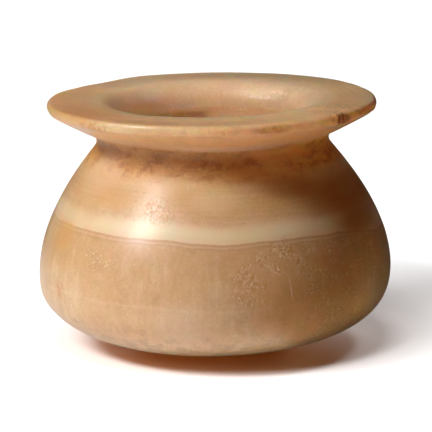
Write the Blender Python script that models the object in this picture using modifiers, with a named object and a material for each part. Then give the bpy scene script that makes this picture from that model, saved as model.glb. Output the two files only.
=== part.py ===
"""Squat travertine jar with a broad disc rim, ground from a single block of stone.

Units are metres and +Z is up. The jar stands on the XY plane, with its belly centred on the Z axis.
It is one hollow piece: a wide flat rim, a narrow neck, a sloping shoulder and a low, full belly on
a domed underside. The whole jar leans a little, as it does when it rests on the flat of its dome.
"""

from math import cos, pi, radians, sin

import bpy

# The jar as a whole
LEAN = radians(0.95)
BOW = 0.0004
BOW_HEIGHT = 0.0825
TURNING_STEPS = 48

# Rim: a disc with a flat top, a slanted outer face and a soft mouth
RIM_TOP = 0.0838
RIM_TOP_AT_MOUTH = 0.0835
ARRIS_RADIUS = 0.0013
ARRIS_CENTRE = (0.05255, RIM_TOP - ARRIS_RADIUS)
LIP_CORNER_RADIUS = 0.0010
LIP_CORNER_CENTRE = (0.05235, 0.08075)
LIP_FACE_ANGLE = radians(-16)
MOUTH_ROUNDING = 0.0065
THROAT_RADIUS = 0.0308

# Neck: a groove between the underside of the rim and the shoulder
NECK_RADIUS = 0.0381
NECK_HEIGHT = 0.0702
NECK_ROUNDING = 0.0033
RIM_FLARE = radians(22)
RIM_FLARE_AT_LIP = radians(29)
FLARE_PULL = 0.0045
SHOULDER_SLOPE = radians(50.6)

# Belly and underside
BELLY_RADIUS = 0.05805
BELLY_HEIGHT = 0.0274
SHOULDER_PULL_AT_NECK = 0.0123
SHOULDER_PULL_AT_BELLY = 0.0156
UNDERSIDE_PULL_AT_BELLY = 0.0199
UNDERSIDE_PULL_AT_FOOT = 0.0255
FOOT_RADIUS = 0.0120
FOOT_SLOPE = radians(10.7)
DOME_DEPTH = 0.0014

# Hollow: a drilled throat with a ledge under it, then the undercut interior
THROAT_EDGE_HEIGHT = 0.0750
THROAT_EDGE_ROUNDING = 0.0008
LEDGE_ANGLE = radians(50)
LEDGE_ROUNDING = 0.0018
INSIDE_NECK_RADIUS = 0.0318
LEDGE_HEIGHT = 0.0720
INSIDE_NECK_HEIGHT = 0.0700
INSIDE_RADIUS = 0.0503
INSIDE_HEIGHT = 0.0285
FLOOR_HEIGHT = 0.0095
PULL_AT_FLOOR = (0.0300, FLOOR_HEIGHT)
PULL_UNDER_SIDE = (INSIDE_RADIUS, 0.0130)
PULL_OVER_SIDE = (INSIDE_RADIUS, 0.0440)
PULL_AT_INSIDE_NECK = (0.0340, 0.0610)


def arc(centre, radius, start, end, count):
    """Points along a circular arc, both ends included."""
    turns = [start + (end - start) * step / (count - 1) for step in range(count)]
    return [(centre[0] + radius * cos(turn), centre[1] + radius * sin(turn)) for turn in turns]


def curve(start, pull_start, pull_end, end, count):
    """Points along a cubic Bezier curve, its two ends left out."""
    points = []
    for step in range(1, count + 1):
        t = step / (count + 1)
        weights = ((1 - t) ** 3, 3 * t * (1 - t) ** 2, 3 * t**2 * (1 - t), t**3)
        corners = (start, pull_start, pull_end, end)
        points.append(tuple(sum(w * c[axis] for w, c in zip(weights, corners)) for axis in (0, 1)))
    return points


def towards(point, angle, distance):
    """The point a distance away in a direction of the profile's plane."""
    return point[0] + distance * cos(angle), point[1] + distance * sin(angle)


def inside_profile():
    """From the middle of the floor up the inner wall to the top of the rim."""
    floor = (0, FLOOR_HEIGHT)
    side = (INSIDE_RADIUS, INSIDE_HEIGHT)
    neck = (INSIDE_NECK_RADIUS, INSIDE_NECK_HEIGHT)
    ledge_centre = (INSIDE_NECK_RADIUS - LEDGE_ROUNDING, LEDGE_HEIGHT)
    edge_centre = (THROAT_RADIUS + THROAT_EDGE_ROUNDING, THROAT_EDGE_HEIGHT)
    mouth_centre = (THROAT_RADIUS + MOUTH_ROUNDING, RIM_TOP_AT_MOUTH - MOUTH_ROUNDING)
    return (
        [floor]
        + curve(floor, PULL_AT_FLOOR, PULL_UNDER_SIDE, side, 7)
        + [side]
        + curve(side, PULL_OVER_SIDE, PULL_AT_INSIDE_NECK, neck, 6)
        + [neck]
        + arc(ledge_centre, LEDGE_ROUNDING, 0, LEDGE_ANGLE, 3)
        + arc(edge_centre, THROAT_EDGE_ROUNDING, pi + LEDGE_ANGLE, pi, 3)
        + arc(mouth_centre, MOUTH_ROUNDING, pi, pi / 2, 7)
    )


def outside_profile():
    """From the outer edge of the rim's top down the outer side to the tip of the dome."""
    neck_centre = (NECK_RADIUS + NECK_ROUNDING, NECK_HEIGHT)
    neck = arc(neck_centre, NECK_ROUNDING, pi / 2 + RIM_FLARE, 3 * pi / 2 - SHOULDER_SLOPE, 6)
    lip = arc(LIP_CORNER_CENTRE, LIP_CORNER_RADIUS, LIP_FACE_ANGLE, RIM_FLARE_AT_LIP - pi / 2, 3)
    belly = (BELLY_RADIUS, BELLY_HEIGHT)
    belly_above = towards(belly, pi / 2, SHOULDER_PULL_AT_BELLY)
    belly_below = towards(belly, -pi / 2, UNDERSIDE_PULL_AT_BELLY)
    foot = (FOOT_RADIUS, 0)
    return (
        arc(ARRIS_CENTRE, ARRIS_RADIUS, pi / 2, LIP_FACE_ANGLE, 4)
        + lip
        + curve(lip[-1], towards(lip[-1], pi + RIM_FLARE_AT_LIP, FLARE_PULL),
                towards(neck[0], RIM_FLARE, FLARE_PULL), neck[0], 2)
        + neck
        + curve(neck[-1], towards(neck[-1], -SHOULDER_SLOPE, SHOULDER_PULL_AT_NECK),
                belly_above, belly, 7)
        + [belly]
        + curve(belly, belly_below, towards(foot, FOOT_SLOPE, UNDERSIDE_PULL_AT_FOOT), foot, 8)
        + [(0, -DOME_DEPTH)]
    )


def stone():
    """Pale honey-coloured travertine, worn to a low polish."""
    material = bpy.data.materials.new("travertine")
    material.use_nodes = True
    shader = material.node_tree.nodes["Principled BSDF"]
    shader.inputs["Base Color"].default_value = (0.62, 0.38, 0.18, 1)
    shader.inputs["Roughness"].default_value = 0.38
    shader.inputs["Metallic"].default_value = 0
    return material


def vessel(collection):
    """The jar, turned about its own axis, bowed a little to +X and then leaned to -X."""
    profile = inside_profile() + outside_profile()
    mesh = bpy.data.meshes.new("vessel")
    mesh.from_pydata(
        [(radius, 0, height) for radius, height in profile],
        [(index, index + 1) for index in range(len(profile) - 1)],
        [],
    )
    mesh.materials.append(stone())
    jar = bpy.data.objects.new("vessel", mesh)
    collection.objects.link(jar)
    jar.rotation_euler.y = -LEAN

    bow_group = jar.vertex_groups.new(name="bow")
    for index, (radius, height) in enumerate(profile):
        share = sin(pi * min(max(height / BOW_HEIGHT, 0), 1))
        bow_group.add([index], share, "REPLACE")

    turning = jar.modifiers.new("turning", "SCREW")
    turning.steps = TURNING_STEPS
    turning.render_steps = TURNING_STEPS
    turning.use_merge_vertices = True
    turning.merge_threshold = 0.00001
    turning.use_smooth_shade = True

    bow = jar.modifiers.new("bow", "DISPLACE")
    bow.direction = "X"
    bow.mid_level = 0
    bow.strength = BOW
    bow.vertex_group = bow_group.name
    return jar


def grind_foot(jar, collection):
    """The small level flat that the jar rests on, cut across the bottom of its dome."""
    size = 4 * FOOT_RADIUS
    bpy.ops.mesh.primitive_cube_add(size=size, location=(0, 0, -size / 2))
    cutter = bpy.context.active_object
    cutter.name = "ground_cutter"
    cutter.hide_render = True
    cutter.display_type = "WIRE"
    for holder in list(cutter.users_collection):
        holder.objects.unlink(cutter)
    collection.objects.link(cutter)

    flat = jar.modifiers.new("foot", "BOOLEAN")
    flat.operation = "DIFFERENCE"
    flat.object = cutter


def new_collection(name):
    """A collection of its own in the scene."""
    collection = bpy.data.collections.new(name)
    bpy.context.scene.collection.children.link(collection)
    return collection


for leftover in list(bpy.data.objects):
    bpy.data.objects.remove(leftover)

alabaster_vessel = vessel(new_collection("alabaster_vessel"))
grind_foot(alabaster_vessel, new_collection("cutters"))
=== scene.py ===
"""A squat travertine jar with a broad disc rim: its mesh, its stone and the light it stands in.

Sizes and places are in metres, apart from the heights of the stone's layers.
"""

from math import atan2, cos, hypot, pi, radians, sin

import bpy
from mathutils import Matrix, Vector


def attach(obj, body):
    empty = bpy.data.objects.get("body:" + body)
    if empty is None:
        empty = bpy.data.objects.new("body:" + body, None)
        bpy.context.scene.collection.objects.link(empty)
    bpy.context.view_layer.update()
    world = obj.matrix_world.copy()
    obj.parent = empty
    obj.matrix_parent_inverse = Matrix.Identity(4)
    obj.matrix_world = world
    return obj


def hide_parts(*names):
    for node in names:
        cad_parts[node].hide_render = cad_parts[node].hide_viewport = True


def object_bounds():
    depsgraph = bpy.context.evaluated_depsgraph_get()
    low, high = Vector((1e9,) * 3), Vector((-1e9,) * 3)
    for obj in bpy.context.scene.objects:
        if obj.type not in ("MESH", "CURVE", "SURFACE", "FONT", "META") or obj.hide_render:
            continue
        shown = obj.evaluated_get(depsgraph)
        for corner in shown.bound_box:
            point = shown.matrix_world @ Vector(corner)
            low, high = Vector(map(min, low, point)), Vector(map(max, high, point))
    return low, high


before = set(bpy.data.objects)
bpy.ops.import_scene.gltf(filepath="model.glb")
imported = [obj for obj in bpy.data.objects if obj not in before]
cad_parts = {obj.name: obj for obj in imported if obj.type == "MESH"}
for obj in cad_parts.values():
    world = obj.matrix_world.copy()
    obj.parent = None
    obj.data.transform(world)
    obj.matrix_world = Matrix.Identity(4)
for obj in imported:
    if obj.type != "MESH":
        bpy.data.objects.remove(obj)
cad_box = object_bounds()


# ---------------------------------------------------------------------------------------------
# Body. The jar is one block of banded travertine, ground to shape outside with sand and stone
# rubbers. Its underside is a shallow dome, the belly is low and full, and the shoulder runs
# almost straight up to the neck. Its maker left it leaning a little and bowed to one side.
# ---------------------------------------------------------------------------------------------
RING_CORNERS = 72
LEAN = radians(0.95)
BOW = 0.0004
BOW_HEIGHT = 0.0825
FOOT = (0.0120, 0)
FOOT_SLOPE = radians(10.7)
FOOT_RING = 0.0105
BELLY = (0.05800, 0.0274)
UNDERSIDE_PULL_AT_FOOT = 0.0255
UNDERSIDE_PULL_AT_BELLY = 0.0199
SHOULDER_PULL_AT_BELLY = 0.0156
SHOULDER_PULL_AT_NECK = 0.0123
NECK_CENTRE = (0.0414, 0.0702)
NECK_ROUNDING = 0.0033
SHOULDER_SLOPE = radians(50.6)
RIM_FLARE = radians(22)


def arc(centre, radius, start, end, count):
    """Stations along a circular arc, both ends included."""
    turns = [start + (end - start) * step / (count - 1) for step in range(count)]
    return [(centre[0] + radius * cos(turn), centre[1] + radius * sin(turn)) for turn in turns]


def curve(start, pull_start, pull_end, end, count):
    """Stations along a Bezier curve, its two ends left out."""
    stations = []
    for step in range(1, count + 1):
        t = step / (count + 1)
        weights = ((1 - t) ** 3, 3 * t * (1 - t) ** 2, 3 * t**2 * (1 - t), t**3)
        corners = (start, pull_start, pull_end, end)
        stations.append(tuple(sum(w * c[axis] for w, c in zip(weights, corners)) for axis in (0, 1)))
    return stations


def towards(point, angle, distance):
    """The station a distance away in a direction of the section."""
    return point[0] + distance * cos(angle), point[1] + distance * sin(angle)


def bow(height):
    """How far the jar's middle stands towards +X at a height."""
    return BOW * sin(pi * min(max(height / BOW_HEIGHT, 0), 1))


def draw_wall(stations):
    """Extrudes the jar's open edge ring by ring through the stations."""
    global edge
    for radius, height in stations:
        lift = (bow(height) - bow(edge[1]), 0, height - edge[1])
        bpy.ops.mesh.extrude_region_move(TRANSFORM_OT_translate={"value": lift})
        grow = radius / edge[0]
        bpy.ops.transform.resize(value=(grow, grow, 1), center_override=(bow(height), 0, height))
        walked.append(walked[-1] + hypot(radius - edge[0], height - edge[1]))
        edge = (radius, height)


bpy.ops.object.select_all(action="DESELECT")
edge = (FOOT_RING, FOOT_SLOPE * (FOOT_RING - FOOT[0]))
walked = [0.0]
bpy.ops.mesh.primitive_circle_add(vertices=RING_CORNERS, radius=edge[0],
                                  location=(bow(edge[1]), 0, edge[1]))
jar = bpy.context.active_object
jar.name = "stone_jar"
bpy.ops.object.transform_apply(location=True)
bpy.ops.object.mode_set(mode="EDIT")
bpy.ops.mesh.select_all(action="SELECT")
bpy.ops.mesh.select_mode(type="VERT")

neck = arc(NECK_CENTRE, NECK_ROUNDING, 3 * pi / 2 - SHOULDER_SLOPE, pi / 2 + RIM_FLARE, 7)
draw_wall(curve(FOOT, towards(FOOT, FOOT_SLOPE, UNDERSIDE_PULL_AT_FOOT),
                (BELLY[0], BELLY[1] - UNDERSIDE_PULL_AT_BELLY), BELLY, 12))
draw_wall([BELLY])
draw_wall(curve(BELLY, (BELLY[0], BELLY[1] + SHOULDER_PULL_AT_BELLY),
                towards(neck[0], -SHOULDER_SLOPE, SHOULDER_PULL_AT_NECK), neck[0], 12))
SHOULDER_END = walked[-1]

# ---------------------------------------------------------------------------------------------
# Neck and rim. Under the rim the grinder cut a narrow round groove. The rim flares out of it to
# a thin disc whose edge has a flat face below and a rounded arris above, and its top is flat.
# ---------------------------------------------------------------------------------------------
RIM_TOP = 0.08365
RIM_UNDERSIDE = radians(29)
RIM_PULL = 0.0045
LIP_FACE = radians(-16)
LIP_CORNER_CENTRE = (0.0526, 0.08075)
LIP_CORNER_ROUNDING = 0.0010
ARRIS_ROUNDING = 0.0017
ARRIS_CENTRE = (0.0524, RIM_TOP - ARRIS_ROUNDING)
TOP_PULL = 0.004
MOUTH_CENTRE = (0.0373, 0.0770)
MOUTH_ROUNDING = 0.0065

draw_wall(neck)
NECK_END = walked[-1]
lip_corner = arc(LIP_CORNER_CENTRE, LIP_CORNER_ROUNDING, RIM_UNDERSIDE - pi / 2, LIP_FACE, 4)
draw_wall(curve(neck[-1], towards(neck[-1], RIM_FLARE, RIM_PULL),
                towards(lip_corner[0], pi + RIM_UNDERSIDE, RIM_PULL), lip_corner[0], 4))
draw_wall(lip_corner)
arris = arc(ARRIS_CENTRE, ARRIS_ROUNDING, LIP_FACE, pi / 2, 5)
draw_wall(arris)
LIP_END = walked[-1]
mouth = arc(MOUTH_CENTRE, MOUTH_ROUNDING, pi / 2, pi, 8)
draw_wall(curve(arris[-1], towards(arris[-1], pi, TOP_PULL), towards(mouth[0], 0, TOP_PULL), mouth[0], 3))
TOP_END = walked[-1]
draw_wall(mouth)

# ---------------------------------------------------------------------------------------------
# Throat and hollow. The jar was hollowed through the mouth with a tube drill and then with bent
# borers, so the throat ends in a narrow ledge and the hollow widens below it under the shoulder.
# ---------------------------------------------------------------------------------------------
THROAT = 0.0308
THROAT_EDGE = 0.0750
THROAT_EDGE_ROUNDING = 0.0008
LEDGE = ((0.0310, 0.0744), (0.0312, 0.0737), (0.0314, 0.0725))
INSIDE_NECK = (0.0318, 0.0700)
INSIDE_BELLY = (0.0503, 0.0285)
HOLLOW_FLOOR = (0, 0.0095)
PULL_AT_INSIDE_NECK = (0.0340, 0.0610)
PULL_OVER_INSIDE_BELLY = (INSIDE_BELLY[0], 0.0440)
PULL_UNDER_INSIDE_BELLY = (INSIDE_BELLY[0], 0.0130)
PULL_AT_HOLLOW_FLOOR = (0.0300, HOLLOW_FLOOR[1])

draw_wall([(THROAT, THROAT_EDGE + THROAT_EDGE_ROUNDING)])
THROAT_END = walked[-1]
draw_wall([(THROAT, THROAT_EDGE), *LEDGE, INSIDE_NECK])
LEDGE_END = walked[-1]
draw_wall(curve(INSIDE_NECK, PULL_AT_INSIDE_NECK, PULL_OVER_INSIDE_BELLY, INSIDE_BELLY, 5))
draw_wall([INSIDE_BELLY])
draw_wall(curve(INSIDE_BELLY, PULL_UNDER_INSIDE_BELLY, PULL_AT_HOLLOW_FLOOR, HOLLOW_FLOOR, 5))

# ---------------------------------------------------------------------------------------------
# Closing and smoothing. The dome under the jar and the floor of the hollow are closed with grids,
# and the whole skin is rounded. Then the jar is leaned as it stands.
# ---------------------------------------------------------------------------------------------
bpy.ops.mesh.fill_grid(span=RING_CORNERS // 4)
bpy.ops.mesh.select_all(action="DESELECT")
bpy.ops.mesh.select_non_manifold()
bpy.ops.mesh.fill_grid(span=RING_CORNERS // 4)
bpy.ops.mesh.select_all(action="SELECT")
bpy.ops.mesh.normals_make_consistent(inside=False)
bpy.ops.object.mode_set(mode="OBJECT")

# The way walked along the section, from the foot over the rim to the hollow's floor, is kept on
# the stone for its finish. The rings lie in the order they were drawn, the two closings last.
along = jar.data.attributes.new("along", "FLOAT", "POINT")
for vertex in jar.data.vertices:
    ring = vertex.index // RING_CORNERS
    if ring < len(walked):
        along.data[vertex.index].value = walked[ring]
    else:
        along.data[vertex.index].value = 0 if vertex.co.z < HOLLOW_FLOOR[1] / 2 else walked[-1]

rounding = jar.modifiers.new("rounding", "SUBSURF")
rounding.levels = 2
rounding.render_levels = 2
bpy.ops.object.modifier_apply(modifier=rounding.name)

bpy.ops.object.mode_set(mode="EDIT")
bpy.ops.mesh.select_all(action="SELECT")
bpy.ops.transform.rotate(value=LEAN, orient_axis="Y", center_override=(0, 0, 0))
bpy.ops.mesh.select_all(action="DESELECT")
bpy.ops.object.mode_set(mode="OBJECT")

# ---------------------------------------------------------------------------------------------
# Handwork and wear. Grinding by hand left the outside slightly uneven and the borers left the
# hollow rougher. Long use knocked shallow dents into the lip and the belly. The jar rests on a
# small flat, ground across the bottom of its dome.
# ---------------------------------------------------------------------------------------------
# Ground stretches: where they start and end along the section, the lumps' size and their depth
UNEVEN = (
    ("outside", 0, NECK_END, 0.020, 0.00026),
    ("rim", NECK_END, TOP_END, 0.026, 0.00032),
    ("hollow", TOP_END, walked[-1], 0.011, 0.00050),
)
# The unevenness fades in over this way at both ends of a stretch
GROUND_FADE = 0.006
# Dents: degrees around the jar, height, depth and reach; a depth below zero is a swelling
DENTS = (
    (-40, 0.0836, 0.00045, 0.0035),
    (-66, 0.0830, 0.00030, 0.0025),
    (-98, 0.0832, 0.00025, 0.0022),
    (-124, 0.0815, 0.00030, 0.0030),
    (-150, 0.0262, 0.00045, 0.0022),
    (158, 0.0820, 0.00030, 0.0040),
    (151, 0.0832, 0.00028, 0.0110),
    (136, 0.0832, 0.00060, 0.0195),
    (-4, 0.0790, -0.00060, 0.0090),
    (-173, 0.0190, -0.00060, 0.0150),
    (74, 0.0828, 0.00055, 0.0040),
    (31, 0.0836, 0.00050, 0.0035),
    (19, 0.0825, 0.00040, 0.0030),
    (-63, 0.0385, 0.00030, 0.0040),
    (-71, 0.0345, 0.00030, 0.0035),
    (-58, 0.0425, 0.00025, 0.0030),
    (52, 0.0310, 0.00050, 0.0045),
    (117, 0.0440, 0.00040, 0.0050),
    (150, 0.0205, 0.00050, 0.0040),
    (15, 0.0230, 0.00040, 0.0035),
)
DENT_SEARCH_UP = 0.0008
DENT_SEARCH_AROUND = radians(1.5)
# The share of its full width that the ground jar is brought up to
SHARE_OF_FULL_WIDTH = 0.9995

ways = [value.value for value in jar.data.attributes["along"].data]
for name, start, end, size, depth in UNEVEN:
    ground = jar.vertex_groups.new(name=name)
    for vertex in jar.data.vertices:
        spare = min(ways[vertex.index] - start, end - ways[vertex.index])
        if spare > 0:
            ground.add([vertex.index], min(spare / GROUND_FADE, 1), "REPLACE")
    lumps = bpy.data.textures.new(name, "CLOUDS")
    lumps.noise_scale = size
    lumps.noise_depth = 1
    grinding = jar.modifiers.new(name, "DISPLACE")
    grinding.texture = lumps
    grinding.texture_coords = "LOCAL"
    grinding.mid_level = 1
    grinding.strength = depth
    grinding.vertex_group = name
    bpy.ops.object.modifier_apply(modifier=grinding.name)


def surface_point(turn, height):
    """The jar's outermost vertex near a turn about its axis and a height."""
    level_with = [v for v in jar.data.vertices if abs(v.co.z - height) < DENT_SEARCH_UP]
    close = []
    for vertex in level_with:
        past = (atan2(vertex.co.y, vertex.co.x) - turn + pi) % (2 * pi) - pi
        if abs(past) < DENT_SEARCH_AROUND:
            close.append(vertex)
    return max(close, key=lambda v: hypot(v.co.x, v.co.y))


for degrees, height, depth, reach in DENTS:
    struck = surface_point(radians(degrees), height)
    inward = struck.normal * -depth
    struck.select = True
    bpy.ops.object.mode_set(mode="EDIT")
    bpy.ops.transform.translate(value=inward, use_proportional_edit=True,
                                proportional_edit_falloff="SMOOTH", proportional_size=reach)
    bpy.ops.mesh.select_all(action="DESELECT")
    bpy.ops.object.mode_set(mode="OBJECT")

# Grinding took the skin back everywhere, so the jar is brought up to its full width again,
# along X and along Y
corners = [Vector(corner) for corner in jar.bound_box]
low = [min(corner[axis] for corner in corners) for axis in (0, 1)]
high = [max(corner[axis] for corner in corners) for axis in (0, 1)]
grow = [min(cad_box[0][axis] / low[axis], cad_box[1][axis] / high[axis]) * SHARE_OF_FULL_WIDTH
        for axis in (0, 1)]
bpy.ops.object.mode_set(mode="EDIT")
bpy.ops.mesh.select_all(action="SELECT")
bpy.ops.transform.resize(value=(grow[0], grow[1], 1), center_override=(0, 0, 0))
bpy.ops.mesh.select_all(action="DESELECT")
bpy.ops.object.mode_set(mode="OBJECT")

# The flat that the jar rests on
for vertex in jar.data.vertices:
    vertex.select = vertex.co.z < 0
bpy.ops.object.mode_set(mode="EDIT")
bpy.ops.transform.resize(value=(1, 1, 0), center_override=(0, 0, 0))
bpy.ops.object.mode_set(mode="OBJECT")
bpy.ops.object.shade_smooth()

# ---------------------------------------------------------------------------------------------
# Stone. The block is travertine laid down in level layers: honey-coloured, with a cream band on a
# brown hairline across the belly. Ground smooth and rubbed to a dull polish, it is cloudy and lets
# light in, and soil, dirt, scratches and pits have marked it since. Some tints paint shade and light.
# ---------------------------------------------------------------------------------------------
# The layers: their heights in millimetres, on a ramp of this span, and their colours
LAYER_SPAN = 85.0
LAYERS = (
    (0.0, (0.76, 0.43, 0.23)),
    (6.0, (0.82, 0.46, 0.22)),
    (12.0, (0.80, 0.49, 0.26)),
    (24.4, (0.76, 0.48, 0.25)),
    (25.2, (0.81, 0.53, 0.30)),
    (26.2, (0.75, 0.46, 0.23)),
    (38.0, (0.72, 0.45, 0.22)),
    (44.2, (0.72, 0.43, 0.21)),
    (44.8, (0.64, 0.37, 0.18)),
    (45.15, (0.78, 0.50, 0.28)),
    (45.55, (0.78, 0.50, 0.28)),
    (45.80, (0.66, 0.37, 0.17)),
    (46.10, (0.66, 0.38, 0.19)),
    (46.45, (0.93, 0.64, 0.40)),
    (48.6, (1.0, 0.72, 0.47)),
    (50.2, (0.98, 0.68, 0.44)),
    (52.6, (0.79, 0.48, 0.25)),
    (57.0, (0.72, 0.43, 0.18)),
    (60.0, (0.75, 0.46, 0.21)),
    (63.5, (0.79, 0.48, 0.22)),
    # The darker, more saturated layer at 67 mm, just under the rim, is partly painted shade where the
    # rim's shadow falls
    (67.0, (0.76, 0.43, 0.16)),
    (72.5, (0.72, 0.40, 0.17)),
    (74.5, (0.78, 0.50, 0.29)),
    (76.2, (0.84, 0.55, 0.26)),
    (77.4, (0.86, 0.54, 0.20)),
    (78.6, (0.86, 0.57, 0.31)),
    (81.6, (0.86, 0.57, 0.33)),
    (83.3, (0.92, 0.52, 0.29)),
    (84.5, (0.72, 0.45, 0.22)),
)
# The layers dip in the middle of the front and back, over a reach to either side
DIP = 0.0009
DIP_MIDDLE = 0.001
DIP_REACH = 0.016
# Far to the right they sink, by this factor times the square of the way past the start
SINK = 8.5
SINK_START = 0.033
# How far the layers ripple, and where the cream band starts and ends
RIPPLE = 0.0016
BAND_BOTTOM = 0.0460
BAND_TOP = 0.0515
# Tints: the place, its reach around the jar and up it, the colour, how strong; some paint shade and light
TINTS = (
    ((-0.0480, -0.0250, 0.0810), 0.0260, 0.0036, (0.72, 0.37, 0.14), 0.85),
    ((-0.0545, -0.0060, 0.0818), 0.0150, 0.0036, (0.84, 0.46, 0.20), 0.50),
    ((-0.0347, -0.0165, 0.0692), 0.0110, 0.0034, (0.40, 0.16, 0.05), 0.80),
    # The next three tints are painted shade: dark amber on the right shoulder, where the rim's shadow
    # falls
    ((0.0380, -0.0190, 0.0570), 0.0320, 0.0078, (0.58, 0.25, 0.06), 0.55),
    ((0.0215, -0.0350, 0.0613), 0.0150, 0.0050, (0.50, 0.17, 0.03), 0.60),
    ((0.0110, -0.0375, 0.0650), 0.0110, 0.0035, (0.62, 0.24, 0.05), 0.45),
    # Painted light: a lighter orange in the shaded right of the groove, standing in for glow through the
    # stone
    ((0.0230, -0.0320, 0.0705), 0.0160, 0.0030, (0.86, 0.46, 0.16), 0.55),
    # Painted shade: the next two tints darken the left inside of the mouth, which the key doesn't reach
    ((-0.0330, 0.0070, 0.0800), 0.0170, 0.0060, (0.62, 0.34, 0.13), 0.65),
    ((-0.0250, 0.0200, 0.0755), 0.0140, 0.0040, (0.56, 0.29, 0.10), 0.70),
    ((0.0470, -0.0080, 0.0842), 0.0200, 0.0050, (0.56, 0.33, 0.16), 0.50),
    # A painted sheen: a pale tint on the lower right of the belly, standing in for light thrown up from
    # the floor
    ((0.0480, -0.0300, 0.0235), 0.0130, 0.0090, (0.86, 0.66, 0.46), 0.35),
    # Painted shade: darker amber on the shaded right of the belly, over the cream band
    ((0.0480, -0.0240, 0.0480), 0.0170, 0.0050, (0.62, 0.34, 0.13), 0.85),
    ((0.0420, -0.0400, 0.0110), 0.0200, 0.0060, (0.62, 0.32, 0.12), 0.45),
    ((-0.0369, -0.0236, 0.0620), 0.0130, 0.0090, (0.84, 0.54, 0.34), 0.50),
    ((-0.0330, -0.0360, 0.0565), 0.0120, 0.0045, (0.74, 0.40, 0.14), 0.55),
    ((-0.0493, -0.0243, 0.0420), 0.0100, 0.0070, (0.74, 0.38, 0.11), 0.50),
    # Painted shade and painted light: the next tint darkens the shoulder left of the front, the one after
    # lightens its front
    ((-0.0149, -0.0431, 0.0600), 0.0125, 0.0055, (0.66, 0.37, 0.13), 0.50),
    ((0.0000, -0.0475, 0.0577), 0.0110, 0.0045, (0.92, 0.66, 0.40), 0.40),
    ((-0.0120, -0.0570, 0.0200), 0.0120, 0.0110, (0.84, 0.62, 0.43), 0.35),
    ((0.0030, -0.0412, 0.0737), 0.0270, 0.0017, (0.94, 0.74, 0.60), 0.45),
    ((0.0410, -0.0336, 0.0821), 0.0050, 0.0026, (0.26, 0.11, 0.05), 0.75),
    ((0.0180, -0.0501, 0.0817), 0.0090, 0.0020, (0.56, 0.36, 0.17), 0.60),
    ((0.0330, -0.0415, 0.0812), 0.0140, 0.0028, (0.84, 0.62, 0.36), 0.70),
    ((0.0420, 0.0180, 0.0300), 0.0160, 0.0110, (0.74, 0.40, 0.14), 0.50),
    ((0.0160, 0.0520, 0.0360), 0.0180, 0.0080, (0.86, 0.64, 0.45), 0.50),
    ((-0.0380, 0.0330, 0.0560), 0.0150, 0.0060, (0.70, 0.36, 0.12), 0.50),
)
# Ragged stains, rubbed places and three painted glints, told in the same way
STAINS = (
    ((0.0370, -0.0368, 0.0832), 0.0050, 0.0020, (0.46, 0.26, 0.10), 0.55),
    ((0.0405, -0.0340, 0.0824), 0.0058, 0.0027, (0.18, 0.06, 0.025), 1.00),
    ((0.0478, -0.0245, 0.0835), 0.0085, 0.0022, (0.40, 0.25, 0.09), 0.85),
    ((0.0180, -0.0501, 0.0817), 0.0080, 0.0019, (0.38, 0.25, 0.11), 0.60),
    ((0.0042, -0.0534, 0.0813), 0.0045, 0.0014, (0.52, 0.30, 0.14), 0.60),
    ((-0.0385, -0.0385, 0.0803), 0.0100, 0.0026, (0.58, 0.28, 0.07), 0.90),
    ((0.0440, -0.0335, 0.0160), 0.0190, 0.0042, (0.46, 0.22, 0.07), 0.50),
    ((-0.0506, -0.0290, 0.0255), 0.0040, 0.0040, (0.66, 0.30, 0.10), 0.80),
    ((-0.0457, -0.0312, 0.0158), 0.0026, 0.0014, (0.50, 0.24, 0.11), 0.80),
    ((-0.0400, -0.0380, 0.0120), 0.0120, 0.0040, (0.60, 0.32, 0.16), 0.60),
    ((-0.0173, -0.0465, 0.0543), 0.0060, 0.0050, (0.66, 0.36, 0.12), 0.30),
    # The next three pale strokes on the far wall of the mouth are painted glints of the key, partly pale
    # scratches
    ((0.0150, 0.0272, 0.0792), 0.0085, 0.0009, (0.98, 0.76, 0.54), 0.50),
    ((0.0215, 0.0235, 0.0812), 0.0050, 0.0009, (0.98, 0.76, 0.54), 0.50),
    ((0.0084, 0.0300, 0.0746), 0.0090, 0.0006, (0.96, 0.70, 0.44), 0.60),
    ((0.0330, 0.0420, 0.0817), 0.0060, 0.0020, (0.30, 0.17, 0.08), 0.80),
    ((-0.0190, 0.0500, 0.0815), 0.0090, 0.0020, (0.52, 0.27, 0.09), 0.70),
    ((0.0530, 0.0170, 0.0180), 0.0100, 0.0050, (0.44, 0.21, 0.09), 0.70),
    ((-0.0420, 0.0360, 0.0330), 0.0060, 0.0060, (0.52, 0.26, 0.10), 0.60),
)
# Bruises: the place, its reach around the jar and up it, how strong
BRUISES = (
    ((0.0205, -0.0505, 0.0403), 0.0135, 0.0085, 1.00),
    ((0.0095, -0.0565, 0.0300), 0.0070, 0.0065, 0.65),
    ((0.0118, -0.0560, 0.0360), 0.0110, 0.0080, 0.65),
)
# Scratches: one end, the other end, half the width, how strong
SCRATCHES = (
    ((0.0230, -0.0525, 0.0366), (0.0246, -0.0529, 0.0266), 0.00022, 0.85),
    ((0.0128, -0.0535, 0.0440), (0.0150, -0.0563, 0.0260), 0.00020, 0.45),
    ((0.0200, -0.0515, 0.0415), (0.0235, -0.0502, 0.0400), 0.00020, 0.90),
    ((0.0245, -0.0497, 0.0425), (0.0262, -0.0500, 0.0382), 0.00018, 0.80),
    ((0.0265, -0.0488, 0.0432), (0.0290, -0.0480, 0.0405), 0.00018, 0.75),
    ((0.0225, -0.0517, 0.0385), (0.0270, -0.0500, 0.0376), 0.00020, 0.85),
    ((0.0150, -0.0540, 0.0395), (0.0190, -0.0535, 0.0365), 0.00018, 0.70),
    ((0.0120, -0.0553, 0.0350), (0.0146, -0.0552, 0.0328), 0.00022, 0.70),
    ((0.0165, -0.0530, 0.0425), (0.0172, -0.0540, 0.0372), 0.00016, 0.60),
)
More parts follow.
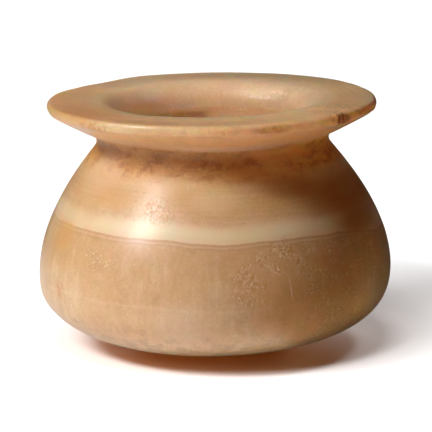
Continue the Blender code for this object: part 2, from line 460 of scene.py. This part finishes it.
# How dull the polish is at its best, and how deep the skin's relief goes
DULLNESS = 0.28
RELIEF_DEPTH = 0.0004

stone = bpy.data.materials.new("travertine")
stone.use_nodes = True
tree = stone.node_tree
shader = tree.nodes["Principled BSDF"]
shader.inputs["Specular IOR Level"].default_value = 0.30
shader.inputs["Coat Weight"].default_value = 1.0
shader.inputs["Coat Roughness"].default_value = 0.6
shader.inputs["Subsurface Weight"].default_value = 1.0
shader.inputs["Subsurface Radius"].default_value = (1.0, 0.36, 0.10)
shader.inputs["Subsurface Scale"].default_value = 0.013


def node(kind, *values, **settings):
    """A new node of the stone, with its settings and with its first sockets linked or filled."""
    made = tree.nodes.new("ShaderNode" + kind)
    for name, value in settings.items():
        setattr(made, name, value)
    for socket, value in zip([s for s in made.inputs if s.enabled], values):
        if isinstance(value, bpy.types.NodeSocket):
            tree.links.new(value, socket)
        elif value is not None:
            socket.default_value = value
    return made


def calc(operation, *values):
    """One sum between sockets or numbers."""
    return node("Math", *values, operation=operation).outputs[0]


def vector(operation, *values):
    """One sum between vectors."""
    return node("VectorMath", *values, operation=operation).outputs[0]


def step_up(value, start, end):
    """0 at start and 1 at end, smooth between them and level beyond."""
    return node("MapRange", value, start, end, interpolation_type="SMOOTHSTEP").outputs[0]


def between(value, start, end, softness):
    """1 between two values, and 0 outside them."""
    rise = step_up(value, start - softness, start + softness)
    fall = step_up(value, end - softness, end + softness)
    return calc("SUBTRACT", rise, fall)


def speckle(source, grains, detail, offset):
    """Noise over a place: its grains per metre along each axis, how fine it goes, and a shift."""
    spread = vector("MULTIPLY_ADD", source, grains, (offset, offset, offset))
    return node("TexNoise", spread, 1.0, detail, 0.55).outputs["Fac"]


def both(*masks):
    """Where every mask is on."""
    product = masks[0]
    for mask in masks[1:]:
        product = calc("MULTIPLY", product, mask)
    return product


def distance(offset):
    """The length of a vector."""
    return node("VectorMath", offset, operation="LENGTH").outputs["Value"]


def near(place, across, up):
    """1 at a place on the wall, fading to 0 at a reach around the jar and a reach up it.

    It goes three times as far into the stone as around it, so that it stays on a curved wall.
    """
    turn = -atan2(place[1], place[0]) - pi / 2
    turned = node("VectorRotate", vector("SUBTRACT", spot, place), (0, 0, 0), (0, 0, 1), turn).outputs[0]
    return step_up(distance(vector("MULTIPLY", turned, (1 / across, 1 / across / 3, 1 / up))), 1.0, 0.35)


def scratch(start, end, width):
    """1 along a line from one end to the other."""
    line = Vector(end) - Vector(start)
    offset = vector("SUBTRACT", spot, start)
    unit = node("VectorMath", offset, line / line.length_squared, operation="DOT_PRODUCT").outputs["Value"]
    held = node("Clamp", unit, 0.0, 1.0).outputs[0]
    nearest = node("VectorMath", line, operation="SCALE")
    tree.links.new(held, nearest.inputs["Scale"])
    return step_up(distance(vector("SUBTRACT", offset, nearest.outputs[0])), width * 1.6, width * 0.5)


def paint(tint, mask, strength=1.0):
    """Lays a tint over the colour so far, where a mask is on."""
    global colour
    mixer = node("Mix", calc("MULTIPLY", mask, strength), colour, (*tint, 1), data_type="RGBA")
    colour = mixer.outputs[2]


spot = node("TexCoord").outputs["Object"]
x, y, z = node("SeparateXYZ", spot).outputs
way = node("Attribute", attribute_name="along").outputs["Fac"]
unrolled = node("CombineXYZ", x, y, way).outputs[0]

# A place's level among the layers, and the colour of the layer there
dip = calc("MULTIPLY", step_up(calc("ABSOLUTE", calc("SUBTRACT", x, DIP_MIDDLE)), DIP_REACH, 0.0), DIP)
past_start = calc("MAXIMUM", calc("SUBTRACT", x, SINK_START), 0.0)
sink = calc("MULTIPLY", calc("POWER", past_start, 2.0), SINK)
ripple = calc("MULTIPLY_ADD", speckle(spot, (75, 75, 20), 3.0, 0.0), RIPPLE, -RIPPLE / 2)
level = calc("ADD", calc("ADD", z, ripple), calc("ADD", dip, sink))
layers = node("ValToRGB", calc("MULTIPLY", level, 1000 / LAYER_SPAN))
ramp = layers.color_ramp
while len(ramp.elements) < len(LAYERS):
    ramp.elements.new(0.5)
for element, (height, tint) in zip(ramp.elements, LAYERS):
    element.position = height / LAYER_SPAN
for element, (height, tint) in zip(ramp.elements, LAYERS):
    element.color = (*tint, 1)
colour = layers.outputs["Color"]

# Where the parts of the jar and the cream band are
body = step_up(way, SHOULDER_END, SHOULDER_END - 0.004)
below_band = step_up(level, BAND_BOTTOM, BAND_BOTTOM - 0.0015)
cream = between(level, BAND_BOTTOM, BAND_TOP, 0.0006)
shoulder = both(body, step_up(level, BAND_TOP - 0.0005, BAND_TOP + 0.0015))
groove = between(way, SHOULDER_END - 0.002, NECK_END + 0.001, 0.003)
rim = between(way, NECK_END + 0.001, TOP_END + 0.004, 0.002)
rim_top = between(way, LIP_END - 0.0004, TOP_END + 0.006, 0.0012)
hollow = step_up(way, TOP_END - 0.001, TOP_END + 0.004)
ledge = between(way, THROAT_END + 0.0006, LEDGE_END + 0.006, 0.0010)

# Noise of several sizes, from clouds to grains
patches = speckle(spot, (26, 26, 34), 3.0, 3.1)
clouds = speckle(spot, (60, 60, 38), 4.0, 7.7)
blotches = speckle(spot, (120, 120, 150), 4.0, 2.9)
mottle = speckle(spot, (260, 260, 260), 5.0, 2.2)
grain = speckle(spot, (1300, 1300, 1300), 2.0, 12.0)
streaks = speckle(spot, (420, 420, 38), 3.0, 1.3)
lines = speckle(unrolled, (22, 22, 1100), 3.0, 5.0)
rings = speckle(unrolled, (30, 30, 700), 3.0, 9.0)

# Clouds, crystal streaks and fine layers inside the stone
paint((0.71, 0.42, 0.17), step_up(patches, 0.46, 0.72), 0.55)
paint((0.86, 0.63, 0.41), step_up(clouds, 0.52, 0.78), 0.45)
paint((0.90, 0.68, 0.45),
      both(step_up(streaks, 0.46, 0.74), below_band, body, step_up(clouds, 0.35, 0.60)), 0.38)
paint((0.58, 0.33, 0.15), both(step_up(streaks, 0.50, 0.26), below_band, body), 0.25)
paint((0.56, 0.31, 0.13), both(step_up(lines, 0.44, 0.74), shoulder), 0.24)
paint((0.90, 0.63, 0.38), both(step_up(lines, 0.50, 0.28), shoulder), 0.16)
plain = calc("SUBTRACT", 1.0, calc("MAXIMUM", cream, rim))
paint((0.60, 0.34, 0.15), both(step_up(mottle, 0.47, 0.72), plain), 0.36)
paint((0.58, 0.32, 0.13), both(step_up(blotches, 0.50, 0.64), below_band, body), 0.24)

# The rim's top is ground and handled, the hollow only bored, with rust at one side of its ledge
paint((0.93, 0.565, 0.27), rim_top, 0.85)
paint((0.60, 0.35, 0.14), both(rim_top, step_up(rings, 0.45, 0.75)), 0.55)
paint((0.60, 0.35, 0.13), both(rim_top, step_up(blotches, 0.48, 0.68)), 0.40)
paint((0.50, 0.33, 0.19), both(rim_top, step_up(y, 0.015, 0.040)), 0.70)
paint((0.63, 0.43, 0.26), hollow, 0.85)
paint((0.48, 0.27, 0.12), both(hollow, step_up(blotches, 0.52, 0.68)), 0.35)
# The ledge is painted a lighter orange: a rusty deposit, lightened as painted light in the ledge's shade
paint((0.86, 0.52, 0.23), ledge, 0.60)
rust = both(hollow, between(z, 0.0690, 0.0737, 0.0007), step_up(x, 0.001, -0.006))
paint((0.44, 0.19, 0.05), both(rust, step_up(blotches, 0.22, 0.46)), 0.80)

# Soil in the groove and on the underside
smear = speckle(spot, (150, 150, 420), 5.0, 6.0)
paint((0.60, 0.26, 0.05), groove, 0.80)
paint((0.48, 0.18, 0.05), both(groove, step_up(smear, 0.47, 0.57), step_up(clouds, 0.34, 0.56)), 0.80)
paint((0.42, 0.14, 0.025), both(groove, step_up(mottle, 0.50, 0.61), step_up(smear, 0.45, 0.55)), 0.72)
paint((0.80, 0.42, 0.16), both(groove, step_up(mottle, 0.46, 0.36)), 0.35)
paint((0.46, 0.26, 0.11), both(step_up(z, 0.021, 0.006), step_up(mottle, 0.46, 0.60)), 0.60)

# Grains all over, tints and stains in their places, some of them painted shade, light and glints
paint((0.50, 0.28, 0.11), both(step_up(grain, 0.50, 0.85), plain), 0.40)
paint((0.94, 0.70, 0.46), step_up(grain, 0.50, 0.20), 0.26)
for place, across, up, tint, strength in TINTS:
    paint(tint, near(place, across, up), strength)
rim_and_hollow = calc("MAXIMUM", rim, hollow)
paint((0.58, 0.37, 0.19), both(rim_and_hollow, step_up(mottle, 0.47, 0.60)), 0.28)
paint((0.58, 0.37, 0.19), both(rim_and_hollow, step_up(grain, 0.48, 0.66)), 0.25)
ragged = step_up(speckle(spot, (620, 620, 620), 4.0, 9.0), 0.40, 0.60)
for place, across, up, tint, strength in STAINS:
    paint(tint, both(near(place, across, up), ragged), strength)

# A worn patch, bruises with nicks that lean two ways, scratches, white dots, dust with a painted sheen,
# and pits
worn = both(near((-0.0175, -0.0462, 0.0548), 0.0085, 0.0062), step_up(grain, 0.50, 0.62))
paint((0.62, 0.33, 0.11), worn, 0.55)
bruised = 0.0
for place, across, up, strength in BRUISES:
    bruised = calc("MAXIMUM", bruised, calc("MULTIPLY", near(place, across, up), strength))
paint((0.60, 0.29, 0.09), both(bruised, step_up(mottle, 0.47, 0.58)), 0.75)
bruised = both(bruised, step_up(mottle, 0.40, 0.58))
marks_and_sheen = both(bruised, step_up(grain, 0.60, 0.70))
for lean, offset in ((-0.62, 4.0), (0.45, 8.0)):
    leaned = node("VectorRotate", spot, (0, 0, 0), (0.37, -0.93, 0), lean).outputs[0]
    nicks = speckle(leaned, (2400, 2400, 380), 1.0, offset)
    marks_and_sheen = calc("MAXIMUM", marks_and_sheen, both(bruised, step_up(nicks, 0.59, 0.67)))
for start, end, width, strength in SCRATCHES:
    broken = both(scratch(start, end, width), step_up(grain, 0.34, 0.50))
    marks_and_sheen = calc("MAXIMUM", marks_and_sheen, calc("MULTIPLY", broken, strength))
rubbed = calc("MAXIMUM", near((-0.0380, -0.0425, 0.0375), 0.0105, 0.0060),
              both(body, step_up(clouds, 0.60, 0.72)))
dots = step_up(node("TexVoronoi", spot, 900.0).outputs["Distance"], 0.30, 0.16)
marks_and_sheen = calc("MAXIMUM", marks_and_sheen, both(rubbed, dots, step_up(mottle, 0.40, 0.56)))
# Pale dust on the right half of the belly, which also paints a sheen of light on that side
dust_and_sheen = both(step_up(x, 0.018, 0.036), body, below_band, step_up(mottle, 0.42, 0.58))
marks_and_sheen = calc("MAXIMUM", marks_and_sheen, calc("MULTIPLY", both(dust_and_sheen, step_up(grain, 0.51, 0.62)), 0.75))
paint((0.98, 0.83, 0.60), marks_and_sheen, 0.90)
pit_dots = step_up(node("TexVoronoi", spot, 620.0).outputs["Distance"], 0.20, 0.06)
pit_fields = step_up(speckle(spot, (40, 40, 60), 2.0, 14.0), 0.64, 0.76)
pitted = calc("MAXIMUM", near((-0.0244, -0.0414, 0.0560), 0.0075, 0.0085),
              both(body, pit_fields, calc("SUBTRACT", 1.0, cream)))
pits = both(pit_dots, pitted)
paint((0.50, 0.27, 0.12), pits, 0.60)
tree.links.new(colour, shader.inputs["Base Color"])

# Polish and relief
rough = calc("ADD", DULLNESS, calc("MULTIPLY", mottle, 0.04))
for mask, rougher in ((groove, 0.45), (hollow, 0.22), (rim_top, 0.14), (marks_and_sheen, 0.20)):
    rough = calc("ADD", rough, calc("MULTIPLY", mask, rougher))
tree.links.new(rough, shader.inputs["Roughness"])
relief = calc("MULTIPLY", lines, 0.05)
for source, height in ((mottle, 0.07), (grain, 0.04), (pits, -0.9), (marks_and_sheen, -0.25), (worn, -0.3)):
    relief = calc("ADD", relief, calc("MULTIPLY", source, height))
bump = node("Bump")
bump.inputs["Strength"].default_value = 0.5
bump.inputs["Distance"].default_value = RELIEF_DEPTH
tree.links.new(relief, bump.inputs["Height"])
tree.links.new(bump.outputs["Normal"], shader.inputs["Normal"])

jar.data.materials.append(stone)
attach(jar, "root")
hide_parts("vessel")

# ---------------------------------------------------------------------------------------------
# Floor, light and camera. The jar stands on a white floor among softboxes, as for a catalogue. Some
# lamps light only the jar, and others only the floor and a grey board, which the camera doesn't see.
# The board lies under the jar and to its left, and throws light back up at it in place of the floor.
# ---------------------------------------------------------------------------------------------
FLOOR_SIZE = 12
BOARD_LEFT, BOARD_RIGHT = -0.9, 0.027
BOARD_FRONT, BOARD_BACK = -0.7, 0.2
BOARD_DROP = 0.0001
JAR_MIDDLE = (0, 0, 0.045)
WHITE = (1.0, 1.0, 1.0)
# Softboxes: the direction they stand in, their distance, width, height, power and colour
JAR_LAMPS = (
    ("key", (-0.675, -0.390, 0.628), 2.5, 0.56, 0.92, 53, WHITE),
    ("shine", (-0.636, -0.310, 0.707), 2.5, 0.22, 0.36, 10, WHITE),
    ("back", (0.30, 0.85, 0.40), 2.5, 1.2, 1.0, 3, WHITE),
    ("front", (0.15, -0.95, 0.30), 2.0, 1.0, 1.0, 0.7, (1.0, 0.42, 0.04)),
    ("side", (0.709, 0.41, -0.574), 1.0, 0.4, 0.3, 1.75, (1.0, 1.0, 0.95)),
)
FLOOR_LAMPS = (
    ("floor_key", (-0.52, -0.577, 0.629), 2.5, 1.90, 0.45, 98, WHITE),
    ("floor_back", (-0.23, 0.96, 0.14), 2.5, 1.20, 0.05, 12, WHITE),
    ("floor_front", (-0.073, -0.597, 0.799), 2.5, 0.70, 0.50, 31, WHITE),
    ("floor_right", (0.433, -0.25, 0.866), 2.5, 0.80, 0.40, 13, WHITE),
    ("floor_far", (0, 0.85, 0.52), 1.0, 1.2, 0.3, 2.8, WHITE),
)
GLOW_LAMP = ("glow", (-0.08, -0.03, 0.055), 0.10, 0.02, 0.02, 0.035, (1.0, 0.20, 0.02))
# Snoots: the place they light, the direction they stand in, the width they light, power and colour
SNOOTS = (
    ("mouth_fill", (-0.004, 0.028, 0.074), (0.25, -0.75, 0.60), 0.050, 15.5, WHITE),
    ("mouth_side", (-0.022, 0.018, 0.076), (0.62, -0.50, 0.60), 0.040, 22, WHITE),
    ("flare_fill", (0.026, -0.034, 0.0745), (0.525, -0.473, -0.707), 0.030, 33, (1.0, 0.60, 0.22)),
    ("belly_fill", (0.033, -0.046, 0.022), (0.45, -0.75, -0.55), 0.040, 0.7, (1.0, 0.62, 0.28)),
)
SNOOT_DISTANCE = 0.6
CAMERA_AIM = (0.00012, 0, 0.04395)
CAMERA_DISTANCE = 1.1864
CAMERA_ELEVATION = radians(11.43)

scene = bpy.context.scene
scene.view_settings.view_transform = "Standard"
world = bpy.data.worlds.new("studio")
world.use_nodes = True
world.node_tree.nodes["Background"].inputs["Color"].default_value = (1, 1, 1, 1)
world.node_tree.nodes["Background"].inputs["Strength"].default_value = 0.005
scene.world = world

bpy.ops.mesh.primitive_plane_add(size=FLOOR_SIZE, location=(0, 0, 0))
floor = bpy.context.active_object
floor.name = "floor"
white = bpy.data.materials.new("white_floor")
white.use_nodes = True
white_shader = white.node_tree.nodes["Principled BSDF"]
white_shader.inputs["Base Color"].default_value = (0.85, 0.85, 0.85, 1)
white_shader.inputs["Roughness"].default_value = 0.9
white_shader.inputs["Specular IOR Level"].default_value = 0.1
floor.data.materials.append(white)
# Only the camera sees the floor, and the lamps below it shine through it
for ray in ("visible_diffuse", "visible_glossy", "visible_transmission", "visible_shadow"):
    setattr(floor, ray, False)

board_middle = ((BOARD_LEFT + BOARD_RIGHT) / 2, (BOARD_FRONT + BOARD_BACK) / 2, -BOARD_DROP)
bpy.ops.mesh.primitive_plane_add(size=1, location=board_middle)
board = bpy.context.active_object
board.name = "bounce_board"
board.scale = (BOARD_RIGHT - BOARD_LEFT, BOARD_BACK - BOARD_FRONT, 1)
grey = bpy.data.materials.new("grey_board")
grey.use_nodes = True
grey.node_tree.nodes["Principled BSDF"].inputs["Base Color"].default_value = (0.55, 0.55, 0.55, 1)
board.data.materials.append(grey)
board.visible_camera = False


def stand(thing, target, direction, distance):
    """Stands a lamp or the camera in a direction from its target, at a distance and facing it."""
    holder = bpy.data.objects.new(thing.name, thing)
    scene.collection.objects.link(holder)
    holder.location = Vector(target) + Vector(direction).normalized() * distance
    holder.rotation_euler = (-Vector(direction)).to_track_quat("-Z", "Y").to_euler()
    return holder


def softbox(name, direction, distance, width, height, power, tint):
    """A rectangular softbox that faces the jar and isn't seen itself."""
    lamp = bpy.data.lights.new(name, "AREA")
    lamp.shape = "RECTANGLE"
    lamp.size = width
    lamp.size_y = height
    lamp.energy = power
    lamp.color = tint
    holder = stand(lamp, JAR_MIDDLE, direction, distance)
    holder.visible_camera = False
    return holder


def snoot(name, target, direction, width, power, tint):
    """A narrow soft spot that lights a patch of a width around a target."""
    lamp = bpy.data.lights.new(name, "SPOT")
    lamp.energy = power
    lamp.color = tint
    lamp.spot_size = 2 * atan2(width / 2, SNOOT_DISTANCE)
    lamp.spot_blend = 0.8
    lamp.shadow_soft_size = 0.04
    return stand(lamp, target, direction, SNOOT_DISTANCE)


def lights_only(lamp, *lit):
    """Keeps a lamp's light to the objects named."""
    chosen = bpy.data.collections.new(lamp.name + "_lit")
    for thing in lit:
        chosen.objects.link(thing)
    lamp.light_linking.receiver_collection = chosen


# Only the key and the shine are mirrored in the polish, and the shine does nothing else
for settings in JAR_LAMPS:
    lamp = softbox(*settings)
    lamp.visible_glossy = lamp.name in ("key", "shine")
    lamp.visible_diffuse = lamp.name != "shine"
    lights_only(lamp, jar)
for settings in FLOOR_LAMPS:
    lamp = softbox(*settings)
    lamp.visible_glossy = False
    lights_only(lamp, floor, board)

# The warm glow that the stone lets through onto the floor is made by a small lamp at the jar's upper
# left. It lights the floor alone, and the jar doesn't block it.
glow = softbox(*GLOW_LAMP)
glow.visible_glossy = False
lights_only(glow, floor)
glow_blocker = bpy.data.collections.new("glow_blocker")
glow_blocker.objects.link(floor)
glow.light_linking.blocker_collection = glow_blocker

for settings in SNOOTS:
    lamp = snoot(*settings)
    lamp.visible_glossy = False
    lights_only(lamp, jar)

camera = bpy.data.cameras.new("camera")
camera.lens = 300
camera.sensor_width = 36
back_to_camera = (0, -cos(CAMERA_ELEVATION), sin(CAMERA_ELEVATION))
scene.camera = stand(camera, CAMERA_AIM, back_to_camera, CAMERA_DISTANCE)
